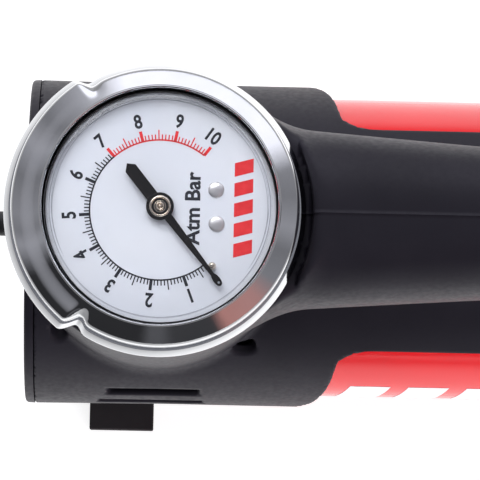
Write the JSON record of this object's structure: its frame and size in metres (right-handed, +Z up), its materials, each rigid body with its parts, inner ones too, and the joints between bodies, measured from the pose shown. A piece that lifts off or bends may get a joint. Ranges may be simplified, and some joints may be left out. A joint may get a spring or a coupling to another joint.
{
  "type": "portable tyre air compressor",
  "caption": "Portable 12 V tyre compressor: red motor sleeve in a black housing with carry handle, top pressure gauge, rear rocker switch and an air hose with valve chuck.",
  "frame": {"origin": "on the ground, at the middle of the machine's length and width, under the motor axis (hose and chuck not counted)", "axes": "+X to the rear, where the switch is; -X to the front, where the gauge and pump are; +Y to the machine's right seen from behind the switch facing forward; +Z up"},
  "size_m": [0.291, 0.1055, 0.1569],
  "materials": {
    "black_plastic": "fine moulded grain, satin",
    "red_paint": "gloss",
    "chrome": "polished plating",
    "rubber": "matt",
    "hose_rubber": "satin",
    "steel": "machined",
    "aluminium": "die-cast",
    "brass": "machined",
    "dial_white": "satin print",
    "lens_clear": "clear acrylic",
    "pointer_black": "satin",
    "copper": "wound and machined",
    "ferrite": "sintered",
    "red_plastic": "moulded"
  },
  "bodies": {
    "root": {"housing_left": "black_plastic", "housing_right": "black_plastic", "housing_screw_pod": "steel", "housing_screw_nose": "steel", "housing_screw_grip": "steel", "housing_screw_rear": "steel", "front_cover": "black_plastic", "rear_cover": "black_plastic", "cord_gland": "rubber", "foot_front_left": "rubber", "foot_front_right": "rubber", "foot_rear_left": "rubber", "foot_rear_right": "rubber", "sleeve": "red_paint", "crankcase": "aluminium", "cylinder": "aluminium", "cylinder_head": "aluminium", "outlet_spring": "steel", "hose_fitting": "brass", "hose_grommet": "rubber", "motor_can": "steel", "motor_front_bell": "steel", "motor_rear_bell": "steel", "front_bearing": "steel", "rear_bearing": "steel", "magnet_upper": "ferrite", "magnet_lower": "ferrite", "brush_left": "ferrite", "brush_right": "ferrite", "gauge_stem": "brass", "gauge_case": "steel", "bourdon_tube": "brass", "movement_plate": "brass", "dial_plate": "dial_white", "stop_pin": "brass", "gauge_bezel": "chrome", "lens_gasket": "rubber", "gauge_lens": "lens_clear", "switch_body": "black_plastic", "hose": "hose_rubber", "hose_coil": "hose_rubber", "hose_end": "hose_rubber", "chuck_body": "black_plastic"},
    "rotor": {"motor_shaft": "steel", "armature": "copper", "commutator": "copper", "crank_disc": "steel", "crank_pin": "steel", "cooling_fan": "black_plastic"},
    "rod": {"connecting_rod": "aluminium", "wrist_pin": "steel"},
    "piston": {"piston": "aluminium", "piston_ring": "rubber"},
    "valve": {"outlet_valve": "steel"},
    "sector": {"sector_gear": "brass"},
    "pointer": {"pointer": "pointer_black", "pointer_arbor": "brass"},
    "rocker": {"switch_rocker": "red_plastic"},
    "thumb_lever": {"chuck_lever": "red_plastic"}
  },
  "joints": [
    {"name": "rotor_spin", "type": "hinge", "parent": "root", "child": "rotor", "pos_m": [-0.063, 0, 0.046], "axis": [1, 0, 0], "continuous": true},
    {"name": "rod_pivot", "type": "hinge", "parent": "rotor", "child": "rod", "pos_m": [-0.063, 0, 0.0505], "axis": [1, 0, 0], "continuous": true},
    {"name": "piston_slide", "type": "slide", "parent": "root", "child": "piston", "axis": [0, 0, 1], "range_m": [-0.009, 0]},
    {"name": "valve_lift", "type": "slide", "parent": "root", "child": "valve", "axis": [0, 0, 1], "range_m": [0, 0.001], "stiffness_N_per_m": 60, "deforming": ["outlet_spring"]},
    {"name": "pointer_turn", "type": "hinge", "parent": "root", "child": "pointer", "pos_m": [-0.063, 0, 0.153], "axis": [0, 0, -1], "range_deg": [0, 260], "stiffness_Nm_per_rad": 0.0003},
    {"name": "sector_turn", "type": "hinge", "parent": "root", "child": "sector", "pos_m": [-0.077, 0, 0.146], "axis": [0, 0, -1], "range_deg": [-43.4, 0]},
    {"name": "rocker_tilt", "type": "hinge", "parent": "root", "child": "rocker", "pos_m": [0.0865, 0, 0.056], "axis": [0, -1, 0], "range_deg": [0, 14]},
    {"name": "lever_lift", "type": "hinge", "parent": "root", "child": "thumb_lever", "pos_m": [-0.1094, -0.0118, 0.0183], "axis": [-1, 0, 0], "range_deg": [0, 90]}
  ],
  "couplings": [
    {"joint": "rod_pivot", "follows": "rotor_spin", "ratio": -1},
    {"joint": "sector_turn", "follows": "pointer_turn", "ratio": -0.16667}
  ]
}
